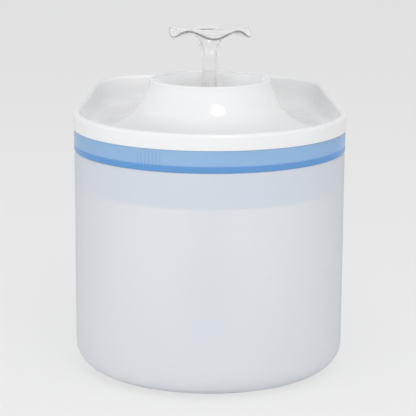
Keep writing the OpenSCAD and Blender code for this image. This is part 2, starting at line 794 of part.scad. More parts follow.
tank();
foot_pads();
lead_grommet();
pump_housing();
pump_back_cap();
stator_core();
stator_coil();
rotor_shaft();
shaft_bushes();
volute_cover();
suction_cups();
riser_tube();
rotor_magnet();
impeller();
pump_cover();
inlet_sponge();
flow_dial();
filter_basin();
filter_frame();
filter_carbon();
filter_cotton();
filter_grille();
drinking_tray();
riser_seal();
spout();
spout_seal();
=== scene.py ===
"""Pet water fountain: the looks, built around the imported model. Metres, +Z up, -Y is the front."""

import json
import math

import bmesh
import bpy
from mathutils import Matrix, Vector

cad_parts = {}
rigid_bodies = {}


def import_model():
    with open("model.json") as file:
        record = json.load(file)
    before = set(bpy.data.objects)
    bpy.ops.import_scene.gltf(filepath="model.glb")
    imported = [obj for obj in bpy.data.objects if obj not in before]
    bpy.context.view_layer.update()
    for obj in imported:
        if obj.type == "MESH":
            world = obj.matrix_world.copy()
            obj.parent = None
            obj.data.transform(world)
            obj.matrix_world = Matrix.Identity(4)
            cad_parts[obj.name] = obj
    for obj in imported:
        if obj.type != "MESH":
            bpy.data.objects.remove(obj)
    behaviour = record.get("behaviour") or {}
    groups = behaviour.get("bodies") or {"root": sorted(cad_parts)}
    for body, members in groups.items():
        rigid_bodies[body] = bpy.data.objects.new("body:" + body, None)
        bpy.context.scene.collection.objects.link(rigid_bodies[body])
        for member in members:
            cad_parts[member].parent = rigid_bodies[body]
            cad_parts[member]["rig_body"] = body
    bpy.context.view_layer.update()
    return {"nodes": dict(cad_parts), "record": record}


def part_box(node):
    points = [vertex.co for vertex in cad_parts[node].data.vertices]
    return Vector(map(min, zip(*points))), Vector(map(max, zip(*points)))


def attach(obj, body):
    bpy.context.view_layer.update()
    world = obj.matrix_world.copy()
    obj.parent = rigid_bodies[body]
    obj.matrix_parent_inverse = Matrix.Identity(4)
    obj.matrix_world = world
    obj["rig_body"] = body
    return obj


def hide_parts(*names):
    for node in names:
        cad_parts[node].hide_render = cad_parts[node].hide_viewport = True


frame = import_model()

MM = 0.001

# ---- sizes, from the frame where it gives them, otherwise the model's own driving dimensions ----

tank_lo, tank_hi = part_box("tank")
band_lo, band_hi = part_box("filter_basin")
tray_lo, tray_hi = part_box("drinking_tray")
spout_lo, spout_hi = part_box("spout")
cartridge_lo, cartridge_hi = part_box("filter_frame")
grommet_lo, grommet_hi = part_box("lead_grommet")
riser_lo, riser_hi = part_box("riser_tube")

BODY_W = band_hi.x - band_lo.x
BODY_D = band_hi.y - band_lo.y
SIDE_TAPER = 7.6 * MM
CORNER_R = 40 * MM
BACK_R = 260 * MM

TANK_EDGE_R = 17 * MM
TANK_WALL = 2.2 * MM
TANK_FLOOR = 2.5 * MM
TANK_LIP_R = 0.5 * MM
TANK_INSET = band_hi.x - tank_hi.x
PAD_R = 7 * MM
PAD_GAP = 0.05 * MM
PAD_RECESS = 1 * MM
FRONT_PAD_OUT = 44 * MM
BACK_PAD_OUT = 7 * MM
GROMMET_R = 4 * MM
GROMMET_Z = (grommet_lo.z + grommet_hi.z) / 2
GROMMET_CUT = 6 * MM

RISER_R = (riser_hi.x - riser_lo.x) / 2
AXIS_Y = (spout_lo.y + spout_hi.y) / 2

BAND_TOP = band_hi.z
BASIN_WALL = 2 * MM
BASIN_FLOOR_Z = band_lo.z + BASIN_WALL
BASIN_LEDGE_Z = tank_hi.z + BASIN_WALL
BASIN_FOOT_R = 2 * MM
BASIN_EDGE_R = 0.6 * MM
BASIN_FILLET_R = 1.5 * MM
SKIRT_GAP = 0.4 * MM
SKIRT_T = TANK_INSET + TANK_WALL + SKIRT_GAP
COLLAR_GAP = 0.7 * MM
COLLAR_R = RISER_R + COLLAR_GAP
COLLAR_WALL = 2 * MM
COLLAR_H = 14 * MM
COLLAR_SINK = 1.5 * MM
LEAD_W = 18 * MM
LEAD_D = 6 * MM
LEAD_Y = band_hi.y - SKIRT_T - LEAD_D
LEAD_CORNER_R = 0.5 * MM
LEAD_BOX_CORNER_R = 1 * MM
LEAD_BOX_LIFT = 0.1 * MM
LEAD_BOX_SINK = 1 * MM
CARTRIDGE_W = cartridge_hi.x - cartridge_lo.x
CARTRIDGE_D = cartridge_hi.y - cartridge_lo.y
CARTRIDGE_Y = (cartridge_lo.y + cartridge_hi.y) / 2
CARTRIDGE_CORNER_R = 12 * MM
FENCE_GAP = 0.5 * MM
FENCE_WALL = 1.6 * MM
FENCE_H = 6 * MM
FENCE_SINK = 0.5 * MM
DRAIN_MARGINS = (16 * MM, 22 * MM)
DRAIN_SLOTS = 9
DRAIN_SLOT_W = 4 * MM

# Grip ribs on the band: where they stand, and each rib's corners as (out, along) in millimetres
RIB_ANGLES = [math.radians(a) for a in (-30.5, -28.9, -27.3, -25.7, -24.1, -22.5, -20.9)]
RIB_CORNERS = [(-0.4, -0.4), (-0.4, 0.4), (0.3, 0.25), (0.3, -0.25)]
RIB_H = 8.5 * MM
RIB_FROM_TOP = 2.8 * MM

RIM_W = 5.4 * MM
RIM_OVERHANG = tray_hi.x - band_hi.x
RIM_RISE = 7.6 * MM
RIM_FRONT_H = 11 * MM
TRAY_WALL = 2.2 * MM
TRAY_EDGE_R = 0.5 * MM
TRAY_GAP = 0.4 * MM
TRAY_SKIRT_T = BASIN_WALL + TRAY_GAP
TRAY_SKIRT_GAP = 2.5 * MM
TRAY_SKIRT_FOOT = BASIN_LEDGE_Z + TRAY_SKIRT_GAP
PAN_Z = BAND_TOP - 2 * MM
PAN_T = 12 * MM
OVERFLOW_W = 60 * MM
OVERFLOW_D = 14 * MM
OVERFLOW_FROM_BACK = 27 * MM
OVERFLOW_SLOTS = 7
OVERFLOW_SLOT_W = 3 * MM
WEEP_R = 1.6 * MM
WEEP_AT = (-83.5 * MM, -7 * MM)
WEEP_CUT = 4 * MM

# Slope from rim to pan: millimetres in from the rim and over the pan, and share of the rim's climb
PAN_SLOPE = [(0.8, 7.4, 0.5), (2.3, 3.6, 0.2), (4.8, 1.1, 0.05)]

CREST_Z = 203.3 * MM
CREST_R = 42.6 * MM
CREST_ROUND = 1.3 * MM
FOOT_R = 80 * MM
SOCKET_R = 11 * MM
SOCKET_GAP = 0.3 * MM
SOCKET_LEDGE = 3 * MM

# Flank of the pedestal: way out from crest to foot, and height over the pan, both as shares
FLANK = [(0.019, 0.876), (0.118, 0.628), (0.198, 0.468), (0.28, 0.35), (0.39, 0.24),
         (0.53, 0.15), (0.68, 0.08), (0.84, 0.03), (1, 0)]
FLANK_DROP = 0.8

TUBE_R = 6 * MM
TUBE_BORE_R = 4 * MM
TUBE_GAP = 0.3 * MM
SEAT_R = TUBE_R + TUBE_GAP
SEAL_UP = 8 * MM
SEAL_H = 2.4 * MM
SEAL_DEPTH = 0.8 * MM
DISH_R = CREST_R - 2 * CREST_ROUND
DISH_DEPTH = 10 * MM
DISH_Z = CREST_Z - DISH_DEPTH
DISH_DRAW_IN = 1.2 * MM
DISH_UNDER_FROM = SOCKET_R + 2 * MM
PETAL_R = 28.7 * MM
PETAL_Z = 235.7 * MM
PETAL_T = 1.6 * MM
PETAL_WAVE = 2.6 * MM
PETAL_DIP = 1.6 * MM
PETAL_TURN = math.radians(121)
PETAL_GROWTH = 1.2
PETALS = 5
NECK_R = 16 * MM
NECK_H = 16 * MM

CUT = 1 * MM  # how far a cutter reaches past the face that it opens

# Points or rings that share out a curve or a wall
FRONT_STEPS = 132
CORNER_STEPS = 28
BACK_STEPS = 24
SIDE_STEPS = 8
TANK_EDGE_STEPS = 20
TANK_INNER_STEPS = 16
TANK_WALL_STEPS = 8
LIP_STEPS = 4
BASIN_FOOT_STEPS = 6
BASIN_FILLET_STEPS = 5
RIM_SIDE_STEPS = 4
ROLL_STEPS = 16
SLOPE_STEPS = 5
FLANK_STEPS = 6
CREST_STEPS = 12
DISH_STEPS = 24
SPOUT_STEPS = 180
FLARE_STEPS = 20
PETAL_STEPS = 14
PETAL_EDGE_STEPS = 8
CIRCLE_STEPS = 48
WEEP_STEPS = 24

# Faces that meet below this angle, in degrees, are shaded as one
SMOOTH = 32
SMOOTH_TRAY = 40
SMOOTH_SPOUT = 50

# Camera of the photograph, found by fitting the body's edges
CAMERA_AT = (-15.8 * MM, -1209.3 * MM, 376.5 * MM)
CAMERA_PITCH = 12.5
CAMERA_YAW = 0.7
CAMERA_ROLL = 0.3
CAMERA_LENS = 148.8
CAMERA_SENSOR = 36
CAMERA_SHIFT = (0.0012, -0.0026)
CAMERA_CLIP = (0.01, 50)


# ---- outline of the body, as in the model: arcs and straight sides ----

FRONT_R = BODY_W / 2
FRONT_C = Vector((0, band_lo.y + FRONT_R))
BACK_C = Vector((0, band_hi.y - BACK_R))
CORNER_X = BODY_W / 2 - SIDE_TAPER - CORNER_R
CORNER_C = Vector((CORNER_X, BACK_C.y + math.sqrt((BACK_R - CORNER_R) ** 2 - CORNER_X**2)))
SIDE_V = CORNER_C - FRONT_C
SIDE_A = math.atan2(SIDE_V.y, SIDE_V.x) - math.acos((FRONT_R - CORNER_R) / SIDE_V.length)
BACK_A = math.atan2(CORNER_C.y - BACK_C.y, CORNER_C.x)


def arc(centre, radius, a0, a1, steps, skip=0):
    """Points along an arc, without the first and last few if skip is given."""
    cx, cy = centre
    angles = [a0 + (a1 - a0) * i / steps for i in range(skip, steps + 1 - skip)]
    return [(cx + radius * math.cos(a), cy + radius * math.sin(a)) for a in angles]


def between(p, q, steps):
    """Points that share out a straight side, without its ends."""
    return [
        (p[0] + (q[0] - p[0]) * i / steps, p[1] + (q[1] - p[1]) * i / steps)
        for i in range(1, steps)
    ]


def outline(inset):
    """The body's outline drawn in by inset, with the same number of points whatever the inset."""
    left_c = Vector((-CORNER_C.x, CORNER_C.y))
    right = arc(CORNER_C, CORNER_R - inset, SIDE_A, BACK_A, CORNER_STEPS)
    back = arc(BACK_C, BACK_R - inset, BACK_A, math.pi - BACK_A, BACK_STEPS, 1)
    left = arc(left_c, CORNER_R - inset, math.pi - BACK_A, math.pi - SIDE_A, CORNER_STEPS)
    front = arc(FRONT_C, FRONT_R - inset, math.pi - SIDE_A, 2 * math.pi + SIDE_A, FRONT_STEPS)
    sides = [between(left[-1], front[0], SIDE_STEPS), between(front[-1], right[0], SIDE_STEPS)]
    return right + back + left + sides[0] + front + sides[1]


def rise(y):
    """How far the rim has climbed at a point on its way back: slowly at first."""
    return RIM_RISE * ((y - band_lo.y) / BODY_D) ** 2


def ring(inset, z, share=0.0):
    """The outline at a height, lifted by a share of the rim's climb."""
    return [(x, y, z + share * rise(y)) for x, y in outline(inset)]


ROUND_ANGLES = [math.atan2(y - AXIS_Y, x) for x, y in outline(PAN_T)]


def circle_ring(radius, z):
    """A level circle round the spout's axis, with a point for each point of the outline."""
    return [(radius * math.cos(a), AXIS_Y + radius * math.sin(a), z) for a in ROUND_ANGLES]


def bend(centre_t, centre_z, radius, a0, a1, steps):
    """Arc in a section: pairs of inset and height. Angles are in degrees."""
    return arc((centre_t, centre_z), radius, math.radians(a0), math.radians(a1), steps)


# ---- mesh helpers ----


def link(name, mesh):
    """A new object in the scene."""
    obj = bpy.data.objects.new(name, mesh)
    bpy.context.scene.collection.objects.link(obj)
    return obj


def loft(name, rings, closed=False):
    """Skin over rings of equal length. Open lofts are capped; closed ones join into a loop."""
    n, m = len(rings[0]), len(rings)
    faces = []
    for k in range(m if closed else m - 1):
        a, b = k * n, (k + 1) % m * n
        faces += [(a + i, a + (i + 1) % n, b + (i + 1) % n, b + i) for i in range(n)]
    if not closed:
        faces += [tuple(range(n)), tuple(range((m - 1) * n, m * n))]
    mesh = bpy.data.meshes.new(name)
    mesh.from_pydata([p for r in rings for p in r], [], faces)
    tidy(mesh)
    return link(name, mesh)


def tidy(mesh, weld=0.0):
    """Turns all faces outwards, after welding what lies within a distance."""
    bm = bmesh.new()
    bm.from_mesh(mesh)
    if weld:
        bmesh.ops.remove_doubles(bm, verts=bm.verts, dist=weld)
    bmesh.ops.recalc_face_normals(bm, faces=bm.faces)
    bm.to_mesh(mesh)
    bm.free()


def prism(name, points, z0, z1):
    """Solid with the same outline at both heights."""
    return loft(name, [[(x, y, z0) for x, y in points], [(x, y, z1) for x, y in points]])


def rounded(w, d, r, cx=0.0, cy=0.0, steps=8):
    """Rectangle with round corners, as points."""
    points = []
    for k, (sx, sy) in enumerate([(1, 1), (-1, 1), (-1, -1), (1, -1)]):
        corner = (cx + sx * (w / 2 - r), cy + sy * (d / 2 - r))
        points += arc(corner, r, math.pi / 2 * k, math.pi / 2 * (k + 1), steps)
    return points


def disc(radius, cx, cy, steps=CIRCLE_STEPS):
    """Circle, as points."""
    return arc((cx, cy), radius, 0, 2 * math.pi, steps)[:-1]


def gather(pieces):
    """One object of several that don't touch."""
    bm = bmesh.new()
    for piece in pieces:
        bm.from_mesh(piece.data)
    bm.to_mesh(pieces[0].data)
    bm.free()
    for piece in pieces[1:]:
        bpy.data.objects.remove(piece)
    return pieces[0]


def apply_modifiers(obj):
    """Makes the shape that the modifiers give the object's own mesh."""
    dg = bpy.context.evaluated_depsgraph_get()
    mesh = bpy.data.meshes.new_from_object(obj.evaluated_get(dg))
    obj.modifiers.clear()
    obj.data = mesh


def combine(obj, others, operation="DIFFERENCE"):
    """Cuts or joins helper solids, which are then deleted."""
    for other in others:
        mod = obj.modifiers.new("cut", "BOOLEAN")
        mod.object = other
        mod.operation = operation
        mod.solver = "EXACT"
    apply_modifiers(obj)
    for other in others:
        bpy.data.objects.remove(other)


def smooth(obj, angle):
    """Smooth shading with sharp edges above an angle in degrees."""
    obj.data.shade_smooth()
    bpy.context.view_layer.objects.active = obj
    for o in bpy.context.selected_objects:
        o.select_set(False)
    obj.select_set(True)
    bpy.ops.object.shade_smooth_by_angle(angle=math.radians(angle))


def slot_points(w, d, count, slot_w, cy):
    """Outlines of a row of round-ended slots that shares out a width, left and right of the middle."""
    pitch = w / count
    centres = [(i - (count - 1) / 2) * pitch for i in range(count)]
    end_r = slot_w / 2 - 0.01 * MM
    return [rounded(slot_w, d, end_r, cx, cy) for cx in centres]


# ---- materials ----


def principled(name, **values):
    """A material whose shader has constants, each under its socket's name with _ for a space."""
    mat = bpy.data.materials.new(name)
    mat.use_nodes = True
    shader = mat.node_tree.nodes["Principled BSDF"]
    for key, value in values.items():
        socket = shader.inputs[key.replace("_", " ")]
        socket.default_value = (*value, 1.0) if socket.type == "RGBA" else value
    return mat


def coordinates(mat, stretch=(1, 1, 1)):
    """Places in the object's own space."""
    nodes, links = mat.node_tree.nodes, mat.node_tree.links
    coord = nodes.new("ShaderNodeTexCoord")
    mapping = nodes.new("ShaderNodeMapping")
    mapping.inputs["Scale"].default_value = stretch
    links.new(coord.outputs["Object"], mapping.inputs["Vector"])
    return mapping.outputs["Vector"]


def texture(mat, kind, cells, stretch=(1, 1, 1)):
    """A noise, Voronoi or wave texture in the object's own space, with so many cells a metre."""
    node = mat.node_tree.nodes.new(f"ShaderNodeTex{kind}")
    node.inputs["Scale"].default_value = cells
    mat.node_tree.links.new(coordinates(mat, stretch), node.inputs["Vector"])
    return node


def noise(mat, cells, detail=2, stretch=(1, 1, 1)):
    """Soft noise from 0 to 1."""
    node = texture(mat, "Noise", cells, stretch)
    node.inputs["Detail"].default_value = detail
    return node.outputs["Fac"]


def stripes(mat, cells, axis):
    """Bands from 0 to 1 across one axis."""
    node = texture(mat, "Wave", cells, [float(axis == name) for name in "XYZ"])
    node.bands_direction = axis
    return node.outputs["Fac"]


def granules(mat, cells):
    """Cells that grow from 0 at their middle."""
    return texture(mat, "Voronoi", cells).outputs["Distance"]


def vary_colour(mat, source, low, high, span=(0.3, 0.7)):
    """Colour from low to high while the source goes through the span."""
    nodes, links = mat.node_tree.nodes, mat.node_tree.links
    ramp = nodes.new("ShaderNodeValToRGB")
    for element, position, colour in zip(ramp.color_ramp.elements, span, (low, high)):
        element.position = position
        element.color = (*colour, 1)
    links.new(source, ramp.inputs["Fac"])
    links.new(ramp.outputs["Color"], nodes["Principled BSDF"].inputs["Base Color"])


def vary_roughness(mat, source, low, high):
    """Roughness from low to high while the source goes from 0 to 1."""
    nodes, links = mat.node_tree.nodes, mat.node_tree.links
    span = nodes.new("ShaderNodeMapRange")
    span.inputs["To Min"].default_value = low
    span.inputs["To Max"].default_value = high
    links.new(source, span.inputs["Value"])
    links.new(span.outputs["Result"], nodes["Principled BSDF"].inputs["Roughness"])


def bump(mat, source, strength, depth):
    """Fine relief, too small to be geometry."""
    nodes, links = mat.node_tree.nodes, mat.node_tree.links
    node = nodes.new("ShaderNodeBump")
    node.inputs["Strength"].default_value = strength
    node.inputs["Distance"].default_value = depth
    links.new(source, node.inputs["Height"])
    links.new(node.outputs["Normal"], nodes["Principled BSDF"].inputs["Normal"])


def white_gloss():
    """The tray's glossy moulding."""
    mat = principled("white_gloss", Specular_IOR_Level=0.12, Coat_Weight=0.9, Coat_Roughness=0.02)
    vary_colour(mat, noise(mat, cells=9), low=(0.86, 0.862, 0.865), high=(0.88, 0.882, 0.885))
    vary_roughness(mat, noise(mat, cells=60, detail=3), low=0.28, high=0.38)
    bump(mat, noise(mat, cells=35, detail=1), strength=0.05, depth=1 * MM)
    return mat


def frosted_plastic():
    """The tank's outer face, which scatters most of the light."""
    mat = principled("frosted", IOR=1.3, Transmission_Weight=0.34)
    vary_colour(mat, noise(mat, cells=6), low=(0.94, 0.968, 0.998), high=(0.95, 0.974, 1.0))
    vary_roughness(mat, noise(mat, cells=40, detail=4), low=0.55, high=0.65)
    bump(mat, noise(mat, cells=1800), strength=0.12, depth=0.2 * MM)
    return mat


def frosted_inside():
    """The tank's smooth inner face."""
    mat = principled("frosted_inside", IOR=1.35, Transmission_Weight=1.0)
    cloud = noise(mat, cells=6)
    vary_colour(mat, cloud, low=(0.975, 0.985, 0.995), high=(0.985, 0.992, 0.998))
    vary_roughness(mat, cloud, low=0.30, high=0.38)
    return mat


def paint_shade_below(mat, height, colour):
    """Paints the colour below a height as painted shade, and keeps the one that is linked above it."""
    blend = 0.3 * MM
    nodes, links = mat.node_tree.nodes, mat.node_tree.links
    place_of = nodes.new("ShaderNodeSeparateXYZ")
    links.new(coordinates(mat), place_of.inputs["Vector"])
    share = nodes.new("ShaderNodeMapRange")
    share.inputs["From Min"].default_value = height - blend
    share.inputs["From Max"].default_value = height + blend
    links.new(place_of.outputs["Z"], share.inputs["Value"])
    mix = nodes.new("ShaderNodeMixRGB")
    mix.inputs["Color1"].default_value = (*colour, 1)
    base = nodes["Principled BSDF"].inputs["Base Color"]
    links.new(share.outputs["Result"], mix.inputs["Fac"])
    links.new(base.links[0].from_socket, mix.inputs["Color2"])
    links.new(mix.outputs["Color"], base)


def blue_plastic():
    """The basin's tinted moulding, with painted shade: a deeper blue painted below the foot of the
    tray's white skirt, where that skirt doesn't back the band.
    """
    mat = principled("blue_plastic", IOR=1.33, Specular_IOR_Level=0.25, Transmission_Weight=0.42)
    vary_colour(mat, noise(mat, cells=12), low=(0.44, 0.69, 1.0), high=(0.47, 0.715, 1.0))
    # Painted shade: the band below the tray's skirt is painted a deeper blue, for the light that no
    # white skirt sends back through it
    paint_shade_below(mat, TRAY_SKIRT_FOOT, (0.22, 0.52, 0.97))
    vary_roughness(mat, noise(mat, cells=50, detail=3), low=0.20, high=0.30)
    bump(mat, noise(mat, cells=120, detail=1), strength=0.04, depth=0.5 * MM)
    return mat


def clear_acrylic():
    """The spout's polished plastic, with the faint ripples of moulding."""
    mat = principled("clear_acrylic", IOR=1.3, Transmission_Weight=0.88, Coat_Weight=1.0,
                     Coat_Roughness=0.02, Base_Color=(0.99, 0.985, 0.975))
    vary_roughness(mat, noise(mat, cells=70), low=0.01, high=0.05)
    bump(mat, noise(mat, cells=55, detail=1), strength=0.012, depth=0.5 * MM)
    return mat


def silicone(name, low, high, translucent):
    """Soft matte rubber."""
    mat = principled(name, IOR=1.41, Transmission_Weight=translucent, Subsurface_Weight=0.15,
                     Subsurface_Scale=2 * MM)
    cloud = noise(mat, cells=90, detail=3)
    vary_colour(mat, cloud, low, high)
    vary_roughness(mat, cloud, low=0.38, high=0.55)
    bump(mat, noise(mat, cells=1500), strength=0.15, depth=0.1 * MM)
    return mat


def moulded(name, low, high):
    """Opaque moulding with a fine satin grain."""
    mat = principled(name, IOR=1.48)
    cloud = noise(mat, cells=25, detail=3)
    vary_colour(mat, cloud, low, high)
    vary_roughness(mat, cloud, low=0.35, high=0.5)
    bump(mat, noise(mat, cells=2200), strength=0.2, depth=0.08 * MM)
    return mat


def laminations():
    """Stacked steel sheets, seen from their edges."""
    mat = principled("laminations", Metallic=1.0)
    sheets = stripes(mat, cells=320, axis="Y")
    vary_colour(mat, sheets, low=(0.22, 0.23, 0.24), high=(0.52, 0.53, 0.55))
    vary_roughness(mat, sheets, low=0.5, high=0.32)
    bump(mat, sheets, strength=0.5, depth=0.15 * MM)
    return mat


def copper_wire():
    """Enamelled wire, wound turn by turn."""
    mat = principled("copper", Metallic=0.9, Coat_Weight=0.5)
    turns = stripes(mat, cells=600, axis="X")
    vary_colour(mat, turns, low=(0.28, 0.09, 0.03), high=(0.62, 0.26, 0.10))
    vary_roughness(mat, turns, low=0.35, high=0.2)
    bump(mat, turns, strength=0.7, depth=0.25 * MM)
    return mat


def ferrite():
    """The coated magnet."""
    mat = principled("magnet")
    grain = noise(mat, cells=900, detail=4)
    vary_colour(mat, grain, low=(0.035, 0.037, 0.04), high=(0.09, 0.092, 0.1))
    vary_roughness(mat, grain, low=0.35, high=0.6)
    bump(mat, grain, strength=0.3, depth=0.1 * MM)
    return mat


def ceramic():
    """The polished shaft."""
    mat = principled("ceramic", Coat_Weight=0.6)
    cloud = noise(mat, cells=200)
    vary_colour(mat, cloud, low=(0.72, 0.72, 0.70), high=(0.82, 0.82, 0.80))
    vary_roughness(mat, cloud, low=0.12, high=0.22)
    return mat


def foam():
    """Dark open-cell sponge."""
    mat = principled("sponge", Roughness=0.95, Sheen_Weight=0.3)
    cells = granules(mat, cells=750)
    vary_colour(mat, cells, low=(0.03, 0.032, 0.036), high=(0.006, 0.006, 0.007), span=(0.2, 0.7))
    bump(mat, cells, strength=1.0, depth=0.8 * MM)
    return mat


def cotton():
    """Needled white wadding, with fibres along the pad."""
    mat = principled("cotton", Roughness=0.95, Sheen_Weight=0.6, Subsurface_Weight=0.2,
                     Subsurface_Scale=1.5 * MM)
    fibres = noise(mat, cells=500, detail=6, stretch=(1, 0.15, 1))
    vary_colour(mat, fibres, low=(0.70, 0.70, 0.66), high=(0.88, 0.88, 0.85))
    bump(mat, fibres, strength=0.8, depth=0.5 * MM)
    return mat


def carbon():
    """Bonded black granules."""
    mat = principled("carbon", Roughness=0.7)
    grains = granules(mat, cells=600)
    vary_colour(mat, grains, low=(0.035, 0.035, 0.037), high=(0.005, 0.005, 0.005), span=(0.1, 0.6))
    bump(mat, grains, strength=1.0, depth=0.8 * MM)
    return mat


MATERIALS = {
    "frosted": frosted_plastic(),
    "white_gloss": white_gloss(),
    "blue_plastic": blue_plastic(),
    "clear_acrylic": clear_acrylic(),
    "silicone_pad": silicone("silicone_pad", (0.42, 0.44, 0.46), (0.50, 0.52, 0.54), 0.0),
    "clear_silicone": silicone("clear_silicone", (0.72, 0.76, 0.80), (0.80, 0.83, 0.86), 0.35),
    "grommet": silicone("grommet", (0.085, 0.095, 0.105), (0.12, 0.13, 0.14), 0.0),
    "pump_plastic": moulded("pump_plastic", (0.74, 0.76, 0.78), (0.80, 0.81, 0.83)),
    "filter_plastic": moulded("filter_plastic", (0.76, 0.79, 0.83), (0.82, 0.84, 0.87)),
    "laminations": laminations(),
    "copper": copper_wire(),
    "magnet": ferrite(),
    "ceramic": ceramic(),
    "sponge": foam(),
    "cotton": cotton(),
    "carbon": carbon(),
}
SLOT_OF = {s["node"]: s["material_slot"] for s in frame["record"]["subparts"]}


def place(obj, node, angle=SMOOTH):
    """A detailed piece that stands for a CAD node, on its body and with its slot's material."""
    obj.data.materials.clear()
    obj.data.materials.append(MATERIALS[SLOT_OF[node]])
    smooth(obj, angle)
    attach(obj, frame["nodes"][node]["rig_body"])
    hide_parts(node)


def line_inside(obj, material):
    """Gives a second material to the faces that look towards the middle of a hollow piece."""
    middle = sum((Vector(corner) for corner in obj.bound_box), Vector()) / len(obj.bound_box)
    obj.data.materials.append(material)
    for face in obj.data.polygons:
        if face.normal.dot(face.center - middle) < 0:
            face.material_index = 1


# ---- tank ----


def tank_section():
    """Outer edge, outer wall, lip, inner wall and inner edge, as pairs of inset and height."""
    z0, z1 = tank_lo.z, tank_hi.z
    wall_t = TANK_INSET + TANK_WALL
    inner_r = TANK_EDGE_R - TANK_WALL
    wall_z = z0 + TANK_EDGE_R
    lip_z = z1 - TANK_LIP_R
    heights = [wall_z + (z1 - wall_z) * i / TANK_WALL_STEPS for i in range(1, TANK_WALL_STEPS)]
    section = bend(TANK_INSET + TANK_EDGE_R, wall_z, TANK_EDGE_R, 270, 180, TANK_EDGE_STEPS)
    section += [(TANK_INSET, z) for z in heights]
    section += bend(TANK_INSET + TANK_LIP_R, lip_z, TANK_LIP_R, 180, 90, LIP_STEPS)
    section += bend(wall_t - TANK_LIP_R, lip_z, TANK_LIP_R, 90, 0, LIP_STEPS)
    section += [(wall_t, z) for z in reversed(heights)]
    floor_z = z0 + TANK_FLOOR
    return section + bend(wall_t + inner_r, floor_z + inner_r, inner_r, 180, 270, TANK_INNER_STEPS)


def pad_recess(x, y):
    """Cutter for a foot pad's place in the underside."""
    return prism("recess", disc(PAD_R + PAD_GAP, x, y), tank_lo.z - CUT, tank_lo.z + PAD_RECESS)


def grommet_hole():
    """Cutter for the grommet's hole, through the back wall."""
    hole = prism("hole", disc(GROMMET_R, 0, 0), -GROMMET_CUT, GROMMET_CUT)
    at = Matrix.Translation((0, tank_hi.y - TANK_WALL, GROMMET_Z))
    hole.data.transform(at @ Matrix.Rotation(math.pi / 2, 4, "X"))
    return hole


def make_tank():
    obj = loft("frosted_tank", [ring(t, z) for t, z in tank_section()])
    front = Vector((FRONT_PAD_OUT, FRONT_C.y - FRONT_PAD_OUT))
    back = CORNER_C + Vector((BACK_PAD_OUT, BACK_PAD_OUT))
    recesses = [pad_recess(side * site.x, site.y) for site in (front, back) for side in (-1, 1)]
    combine(obj, recesses + [grommet_hole()])
    place(obj, "tank")
    line_inside(obj, frosted_inside())


# ---- filter basin ----


def basin_section():
    """Skirt, step out to the band, band, step in and floor, as pairs of inset and height."""
    z0, rim_z = band_lo.z, tank_hi.z
    inner_t = SKIRT_T + BASIN_WALL
    foot_r, edge_r, fillet_r = BASIN_FOOT_R, BASIN_EDGE_R, BASIN_FILLET_R
    section = bend(SKIRT_T + foot_r, z0 + foot_r, foot_r, 270, 180, BASIN_FOOT_STEPS)
    section += [(SKIRT_T, rim_z)]
    section += bend(edge_r, rim_z + edge_r, edge_r, 270, 180, LIP_STEPS)
    section += bend(edge_r, BAND_TOP - edge_r, edge_r, 180, 90, LIP_STEPS)
    section += [(BASIN_WALL, BAND_TOP), (BASIN_WALL, BASIN_LEDGE_Z), (inner_t, BASIN_LEDGE_Z)]
    fillet_z = BASIN_FLOOR_Z + fillet_r
    return section + bend(inner_t + fillet_r, fillet_z, fillet_r, 180, 270, BASIN_FILLET_STEPS)


def riser_collar():
    """Upright collar that the riser passes through."""
    points = disc(COLLAR_R + COLLAR_WALL, 0, AXIS_Y)
    return prism("collar", points, BASIN_FLOOR_Z - COLLAR_SINK, BASIN_FLOOR_Z + COLLAR_H)


def lead_box():
    """Box in the back wall that the lead's channel is cut into."""
    width = LEAD_W + 2 * BASIN_WALL
    centre_y = LEAD_Y + LEAD_D / 2 - BASIN_WALL
    points = rounded(width, LEAD_D, LEAD_BOX_CORNER_R, 0, centre_y)
    return prism("lead_box", points, band_lo.z + LEAD_BOX_LIFT, tank_hi.z + LEAD_BOX_SINK)


def lead_channel():
    """Cutter for the channel, open to the back and below."""
    depth = LEAD_D + SKIRT_T
    points = rounded(LEAD_W, depth, LEAD_CORNER_R, 0, LEAD_Y + depth / 2)
    return prism("channel", points, band_lo.z - CUT, tank_hi.z)


def cartridge_fence():
    """Low wall round the filter cartridge."""
    w, d = CARTRIDGE_W + 2 * FENCE_GAP, CARTRIDGE_D + 2 * FENCE_GAP
    r = CARTRIDGE_CORNER_R + FENCE_GAP
    top_z = BASIN_FLOOR_Z + FENCE_H
    outside = rounded(w + 2 * FENCE_WALL, d + 2 * FENCE_WALL, r + FENCE_WALL, 0, CARTRIDGE_Y)
    fence = prism("fence", outside, BASIN_FLOOR_Z - FENCE_SINK, top_z)
    inside = prism("inside", rounded(w, d, r, 0, CARTRIDGE_Y), BASIN_FLOOR_Z - CUT, top_z + CUT)
    combine(fence, [inside])
    return fence


def grip_rib(angle):
    """Thin upright bar on the band, at an angle round its front from straight ahead."""
    out = Vector((math.sin(angle), -math.cos(angle)))
    side = Vector((math.cos(angle), math.sin(angle)))
    foot = FRONT_C + out * FRONT_R
    corners = [foot + out * d * MM + side * w * MM for d, w in RIB_CORNERS]
    top_z = BAND_TOP - RIB_FROM_TOP
    return prism("rib", corners, top_z - RIB_H, top_z)


def drain_slots():
    """Cutters for the row of slots under the cartridge."""
    w, d = CARTRIDGE_W - DRAIN_MARGINS[0], CARTRIDGE_D - DRAIN_MARGINS[1]
    row = slot_points(w, d, DRAIN_SLOTS, DRAIN_SLOT_W, CARTRIDGE_Y)
    return [prism("slot", points, band_lo.z - CUT, BASIN_FLOOR_Z + CUT) for points in row]


def make_basin():
    obj = loft("blue_basin", [ring(t, z) for t, z in basin_section()])
    ribs = gather([grip_rib(angle) for angle in RIB_ANGLES])
    combine(obj, [riser_collar(), lead_box(), cartridge_fence(), ribs], "UNION")
    bore_top = BASIN_FLOOR_Z + COLLAR_H + CUT
    bore = prism("bore", disc(COLLAR_R, 0, AXIS_Y), band_lo.z - CUT, bore_top)
    combine(obj, [bore, lead_channel()] + drain_slots())
    place(obj, "filter_basin")


